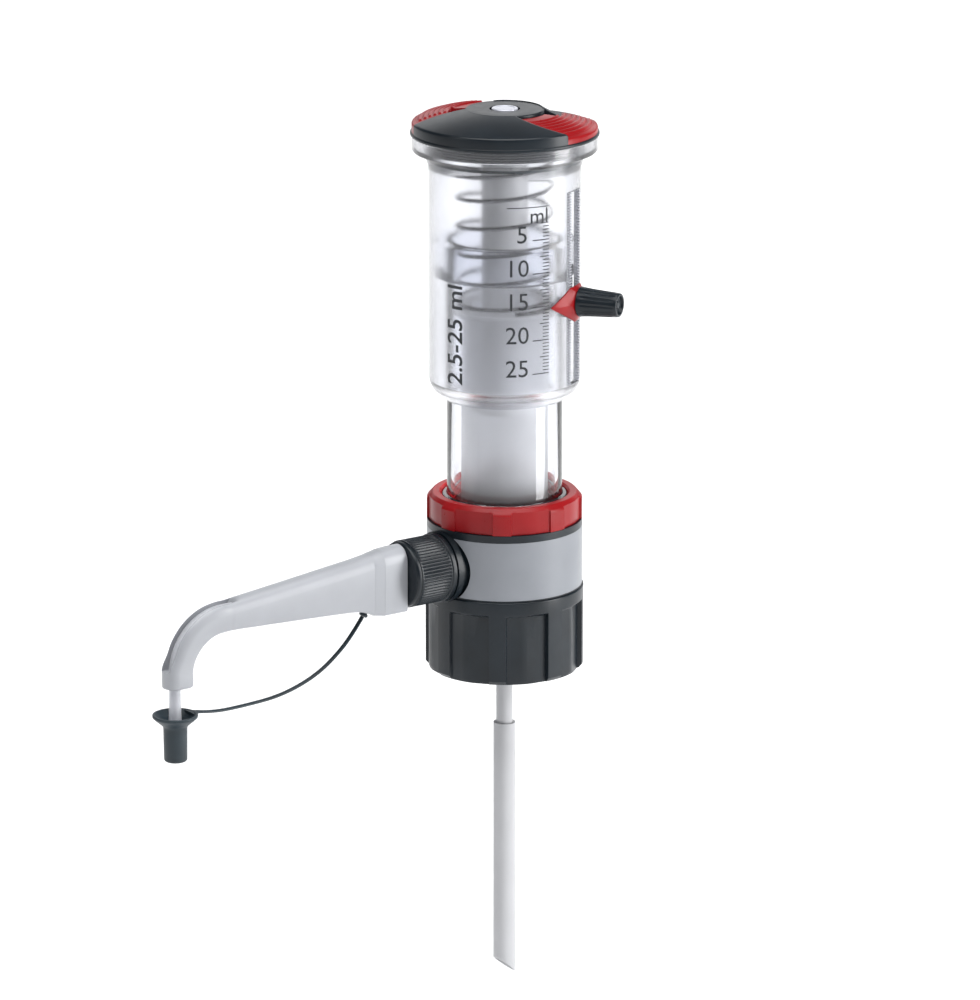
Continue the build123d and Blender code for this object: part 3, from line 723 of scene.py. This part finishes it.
# ---------------------------------------------------------------- discharge side
def union_nut():
    """Knurled nut, closed up to the discharge tube."""
    radius, ring, grooves = union_radius - 0.35, 31.2, 60
    knurl_start, knurl_end = 31.9, 43.9
    thread, end_wall, hole = 9.6, 42.9, 5.0

    def shape(r, z, azimuth):
        if r < radius - 0.9:
            return r
        open_end = ease((z - knurl_start) / 0.5) * ease((knurl_end - z) / 0.5)
        tooth = 0.5 - 0.5 * math.cos(grooves * azimuth)
        return r - 0.42 * (1 - tooth) ** 1.3 * open_end

    wall = [(radius, z) for z in (knurl_start, 32.1, 32.4, 35.0, 38.0, 41.0, 43.4, 43.7, knurl_end)]
    profile = rounded([
        (thread, union_start), (union_radius, union_start, 0.3), (union_radius, ring, 0.3),
        (radius, ring + 0.3)] + wall + [
        (radius, 44.3), (radius - 0.35, 44.5), (radius - 0.35, union_end, 0.9), (hole, union_end),
        (hole, end_wall), (thread, end_wall)])
    azimuths = steps(0, TURN, grooves * 8)[:-1]
    piece("outlet_nut_knurled", turned(profile, shape, azimuths), "black_plastic", "dispenser",
          ["outlet_union_nut"], OUTLET, sharp=35)


def discharge():
    """Arched tube that tapers, bends down and is open along the outside of its bend."""
    start = union_end + 0.3
    outer, inner_top, inner_side = 23.3, 12.8, 14.3     # distances from the bend's centre
    channel, corner, arch_z = 2.45, 1.3, 28.4
    tip = tube_tip + 1.2
    # top s, top z, bottom s, bottom z, half width, how open the channel is
    stations = [
        (start, 52.4, start, arch_z, 5.5, 0), (52.0, 52.3, 52.0, arch_z, 5.5, 0),
        (55.6, 52.0, 55.9, arch_z, 5.5, 0), (56.0, 51.9, 56.3, arch_z, 5.45, 0),
        (59.8, 51.2, 60.2, 29.1, 4.95, 0), (60.2, 51.1, 60.6, 29.3, 4.9, 0),
        (66.0, 50.2, 66.0, 31.3, 4.9, 0), (76.0, 49.1, 76.0, 32.1, 4.85, 0),
        (95.0, 47.0, 95.0, 33.0, 4.75, 0), (108.0, 45.6, 109.0, 33.6, 4.7, 0),
        (116.2, 44.75, 118.0, 34.0, 4.65, 0), (118.4, 44.5, 120.0, 34.0, 4.65, 0.75),
        (120.2, 44.35, 121.0, 34.0, 4.6, 1)]
    bend_angles = (4, 18, 32, 46, 60, 72)
    for angle in bend_angles:
        across, up = math.sin(math.radians(angle)), math.cos(math.radians(angle))
        share = angle / bend_angles[-1]
        near = between(inner_top, inner_side, share)
        stations.append((bend_s + outer * across, bend_z + outer * up,
                         bend_s + near * across, bend_z + near * up, between(4.6, 4.3, share), 1))
    back = bend_s + inner_side
    stations += [
        (tube_reach - 0.7, 25.2, back + 0.1, 22.4, 4.3, 1),
        (tube_reach - 0.1, 23.6, back + 0.1, 20.6, 4.3, 0.9),
        (tube_reach, 22.6, back + 0.1, 19.6, 4.35, 0),
        (tube_reach, 21.5, back + 0.1, 18.4, 4.35, 0),
        (tube_reach, tip + 1.0, back + 0.2, tip + 1.0, 4.3, 0),
        (tube_reach - 0.3, tip + 0.3, back + 0.5, tip + 0.3, 4.0, 0),
        (tube_reach - 1.1, tip, back + 1.3, tip, 3.4, 0)]
    rows = []
    for top_s, top_z, low_s, low_z, half, openness in smooth_rows(stations, 4):
        openness = min(1.0, max(0.0, openness))
        low, top = Vector((-low_s, 0, low_z)), Vector((-top_s, 0, top_z))
        height = (top - low).length
        up = (top - low) / height
        crown = min(half, height / 2)

        def arch(y):
            return height - crown + crown * math.sqrt(max(0.0, 1 - (y / half) ** 2))

        shape = [(-half + corner, 0.0), (-half + corner * 0.3, corner * 0.3), (-half, corner),
                 (-half, height - crown)]
        shape += [(-half * math.cos(a), height - crown + crown * math.sin(a))
                  for a in steps(0, math.acos(channel / half), 9)[1:]]
        axis = height - (outer - bend_radius)
        floor = [(-channel * 0.99, 1.0), (-channel * 0.97, 0.35)]
        floor += [(-channel * math.cos(a), 0.0) for a in steps(0.3, math.pi - 0.3, 6)]
        floor += [(channel * 0.97, 0.35), (channel * 0.99, 1.0)]
        for y, level in floor:
            deep = axis - math.sqrt(max(0.0, channel ** 2 - y ** 2))
            deep = between(deep, arch(channel), level) if level else deep
            shape.append((y, between(arch(y), deep, openness)))
        shape += [(half * math.cos(a), height - crown + crown * math.sin(a))
                  for a in reversed(steps(0, math.acos(channel / half), 9)[1:])]
        shape += [(half, height - crown), (half, corner), (half - corner * 0.3, corner * 0.3),
                  (half - corner, 0.0)]
        rows.append([low + up * v + Vector((0, y, 0)) for y, v in shape])
    piece("discharge_tube_shell", skin(rows, caps=True), "white_plastic", "dispenser", ["discharge_tube"],
          sharp=40)


def nozzle():
    """Inner tube, a little wider towards its end, with its open bore."""
    bottom = nozzle_low.z
    path = [(s, outlet_z) for s in steps(38.5, bend_s, 12)]
    path += [(bend_s + bend_radius * math.sin(a), bend_z + bend_radius * math.cos(a))
             for a in steps(0, TURN / 4, 18)[1:]]
    path += [(nozzle_s, z) for z in steps(bend_z, bottom, 10)[1:]]
    centres = [Vector((-s, 0, z)) for s, z in path]
    rows = []
    for wall in (0, 1):
        order = list(enumerate(centres))
        for i, centre in (order if wall == 0 else reversed(order)):
            ahead = centres[min(i + 1, len(centres) - 1)] - centres[max(i - 1, 0)]
            across = Vector((0, 1, 0))
            up = ahead.cross(across).normalized()
            widen = ease((14.0 - centre.z) / 14.0) if centre.x < -bend_s - 5 else 0.0
            radius = between(2.05, nozzle_radius, widen) if wall == 0 else 1.4
            rows.append([centre + across * radius * math.cos(a) + up * radius * math.sin(a)
                         for a in steps(0, TURN, 28)[:-1]])
    piece("nozzle_tube", skin(rows, loop_rows=True), tip_plastic, "dispenser", ["outlet_nozzle"],
          clear=True)


def cap():
    """Closure cap with a dished rim, and the root that its strap grows from."""
    radius, dish, floor = 4.2, 8.0, -8.0
    bore = nozzle_radius + 0.08
    profile = rounded([
        (0, cap_bottom), (radius - 0.1, cap_bottom, 0.9), (radius + 0.05, 2.4, 2.0), (dish - 1.0, 4.7, 1.5),
        (dish, 5.7, 0.4), (dish, cap_top, 0.25), (dish - 0.8, cap_top, 0.25), (radius + 1.0, 4.6, 1.2),
        (bore, 3.4, 0.4), (bore, floor), (0, floor)])
    place = Matrix.Translation((-nozzle_s, 0, 0))
    # s, z, half width and half thickness of the root, from the dish out to the strap
    stations = [(136.2, 6.0, 3.6, 0.55), (134.6, 6.0, 3.0, 0.55), (133.2, 5.95, 1.7, 0.5),
                (131.6, 5.55, 1.02, 0.45)]
    root = []
    for s, z, half, thick in smooth_rows(stations, 3):
        root.append([Vector((-s, half * math.cos(a), z + thick * math.sin(a)))
                     for a in steps(0, TURN, 20)[:-1]])
    piece("cap_dish", turned(profile), "dark_rubber", "closure_cap", ["closure_cap"], place, sharp=40)
    piece("strap_root", skin(root, caps=True), "dark_rubber", "closure_cap")


# (s, z) points that the strap's middle line is drawn toward
STRAP_ROUTE = [(62.35, 28.3), (65.4, 24.2), (71.6, 17.6), (82.0, 10.2), (97.0, 5.4), (113.0, 4.5),
               (126.5, 4.5), (133.1, 6.0)]
STRAP_WIDTH, STRAP_THICKNESS = 2.0, 1.1


def strap():
    """Flat strap that follows the route's own NURBS spline, from its anchor under the tube to the cap."""
    curve = bpy.data.curves.new("strap_line", "CURVE")
    curve.dimensions = "3D"
    curve.resolution_u = 10
    spline = curve.splines.new("NURBS")
    spline.points.add(len(STRAP_ROUTE) - 1)
    for point, (s, z) in zip(spline.points, STRAP_ROUTE):
        point.co = (-s * MM, 0, z * MM, 1)
    spline.order_u = 3
    spline.use_endpoint_u = True
    guide_object = bpy.data.objects.new("strap_line", curve)
    line = bpy.data.meshes.new_from_object(guide_object)
    path = [v.co.copy() for v in line.vertices]
    bpy.data.objects.remove(guide_object)
    bpy.data.meshes.remove(line)
    mesh = tube([p / MM for p in path], lambda i: (STRAP_WIDTH / 2, STRAP_THICKNESS / 2), 14)
    made = piece("strap_band", mesh, "dark_rubber", None, ["cap_strap"], ride=False, sharp=60)
    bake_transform(made)


# ---------------------------------------------------------------- print on the sleeve
print_radius = sleeve_radius + 0.04
zero_line, dose_pitch = 174.4, 12.1     # z of the zero line, and the height of 5 ml


def dose_z(volume):
    return zero_line - dose_pitch * volume / 5


def mark(low_azimuth, high_azimuth, z, thickness):
    """One printed line as a thin curved bar."""
    rows = []
    for a in steps(math.radians(low_azimuth), math.radians(high_azimuth), 6):
        rows.append([polar(r, a, z + side * thickness / 2) for r, side in
                     ((print_radius - 0.02, -1), (print_radius + 0.03, -1), (print_radius + 0.03, 1),
                      (print_radius - 0.02, 1))])
    return skin(rows, caps=True)


def lettering(text, size, azimuth, z, upright=True, bold=0.0):
    """Text wrapped round the sleeve, centred on an azimuth in degrees and a height."""
    curve = bpy.data.curves.new("letters", "FONT")
    curve.body = text
    curve.size = size
    curve.offset = bold
    curve.align_x = "CENTER"
    curve.align_y = "CENTER"
    curve.resolution_u = 3
    holder = bpy.data.objects.new("letters", curve)
    data = bpy.data.meshes.new_from_object(holder)
    mesh = bmesh.new()
    mesh.from_mesh(data)
    bpy.data.objects.remove(holder)
    bpy.data.meshes.remove(data)
    if not upright:
        mesh.transform(Matrix.Rotation(TURN / 4, 4, "Z"))
    reach = int(max(abs(v.co.x) for v in mesh.verts)) + 1
    for x in range(-reach, reach + 1):
        geometry = mesh.verts[:] + mesh.edges[:] + mesh.faces[:]
        bmesh.ops.bisect_plane(mesh, geom=geometry, plane_co=(x, 0, 0), plane_no=(1, 0, 0))
    for vertex in mesh.verts:
        angle = math.radians(azimuth) + vertex.co.x / print_radius
        vertex.co = polar(print_radius + 0.03, angle, z + vertex.co.y)
    return mesh


def scale_print():
    """Scale from 2.5 to 25 ml with a line every half millilitre, its figures, and the capacity label."""
    major_start, medium_start, minor_start, lines_end = 255.3, 261.2, 263.7, 269.1
    marks = [mark(235.5, 268.5, zero_line - 0.2, 0.32)]
    for half_ml in range(5, 51):
        z = dose_z(half_ml / 2)
        major, medium = half_ml % 10 == 0, half_ml % 5 == 0
        start = major_start if major else medium_start if medium else minor_start
        marks.append(mark(start, lines_end, z, 0.38 if major else 0.34))
    piece("scale_lines", joined(*marks), ink, "plunger")
    texts = [lettering(str(volume), 8.8, 243.4 if volume > 5 else 247.0, dose_z(volume) + 1.9)
             for volume in range(5, 30, 5)]
    texts.append(lettering("ml", 7.6, 260.6, zero_line - 3.6, bold=0.03))
    texts.append(lettering("2.5-25 ml", 9.6, 194.0, 127.2, upright=False, bold=0.12))
    piece("scale_figures", joined(*texts), ink, "plunger")


# ---------------------------------------------------------------- carried-over CAD pieces
def finish_cad_nodes():
    special = {node: rod_plastic for node in ("piston_rod", "piston", "piston_seal", "filling_tube_lower",
                                              "filling_tube_upper")}
    for node, made in frame["nodes"].items():
        if made.hide_render:
            continue
        made.data.materials.clear()
        made.data.materials.append(special.get(node, MATERIALS[SLOT_OF[node]]))


# ---------------------------------------------------------------- room, light and camera
def area(name, place, aim, width, height, power):
    """Softbox that lights the object but isn't seen itself, neither directly nor through clear pieces."""
    lamp = bpy.data.lights.new(name, "AREA")
    lamp.shape = "RECTANGLE"
    lamp.size, lamp.size_y = width, height
    lamp.energy = power
    made = bpy.data.objects.new(name, lamp)
    made.location = place
    made.rotation_mode = "QUATERNION"
    made.rotation_quaternion = (Vector(aim) - Vector(place)).to_track_quat("-Z", "Y")
    made.visible_camera = False
    made.visible_transmission = False
    bpy.context.scene.collection.objects.link(made)


def around(azimuth, distance, z):
    """Point at an azimuth seen from above, in degrees from the camera's side, positive to its right."""
    a = math.radians(FRONT + azimuth)
    return Vector((distance * math.cos(a), distance * math.sin(a), z))


def studio():
    floor_mesh = bpy.data.meshes.new("floor")
    half, level = 5.0, -0.13
    corners = [(-half, -half, level), (half, -half, level), (half, half, level), (-half, half, level)]
    floor_mesh.from_pydata(corners, [], [(0, 1, 2, 3)])
    paper = material("floor_paper", (0.93, 0.93, 0.93), (0.8, 0.9), 0.01, cloud=3, grain=300)
    floor_mesh.materials.append(paper)
    floor = bpy.data.objects.new("floor", floor_mesh)
    bpy.context.scene.collection.objects.link(floor)

    sun = bpy.data.lights.new("overhead", "SUN")
    sun.energy = 3.4
    sun.angle = math.radians(60)
    overhead = bpy.data.objects.new("overhead", sun)
    overhead.rotation_euler = (math.radians(8), math.radians(-6), 0)
    bpy.context.scene.collection.objects.link(overhead)

    aim = (0, 0, 0.11)
    area("left_softbox", around(-58, 1.3, 0.75), aim, 0.45, 1.0, 2.5)
    area("right_softbox", around(75, 1.2, 0.40), aim, 0.5, 1.1, 17)
    area("back_softbox", around(180, 1.6, 0.69), (0, 0, 0.2), 2.2, 0.55, 5)

    world = bpy.data.worlds.new("room")
    world.use_nodes = True
    background = world.node_tree.nodes["Background"]
    background.inputs["Color"].default_value = (0.50, 0.52, 0.58, 1)
    background.inputs["Strength"].default_value = 0.22
    bpy.context.scene.world = world
    bpy.context.scene.view_settings.view_transform = "Standard"

    data = bpy.data.cameras.new("camera")
    data.sensor_width = 36
    data.lens = 235.4
    data.clip_start, data.clip_end = 0.1, 50
    camera = bpy.data.objects.new("camera", data)
    heading = math.radians(270 - FRONT)
    distance, shift_left, height, tilt = 2.26, 0.0052, 0.6823, math.radians(15.37)
    forward = Vector((math.sin(heading), math.cos(heading), 0))
    right = Vector((forward.y, -forward.x, 0))
    camera.location = -distance * forward - shift_left * right + Vector((0, 0, height))
    look = forward * math.cos(tilt) - Vector((0, 0, math.sin(tilt)))
    camera.rotation_mode = "QUATERNION"
    camera.rotation_quaternion = look.to_track_quat("-Z", "Y")
    bpy.context.scene.collection.objects.link(camera)
    bpy.context.scene.camera = camera


studio()
strap()
collar()
nut()
guide()
cylinder()
spring()
valve_spring()
sleeve()
racks()
head()
stop()
union_nut()
discharge()
nozzle()
cap()
scale_print()
finish_cad_nodes()
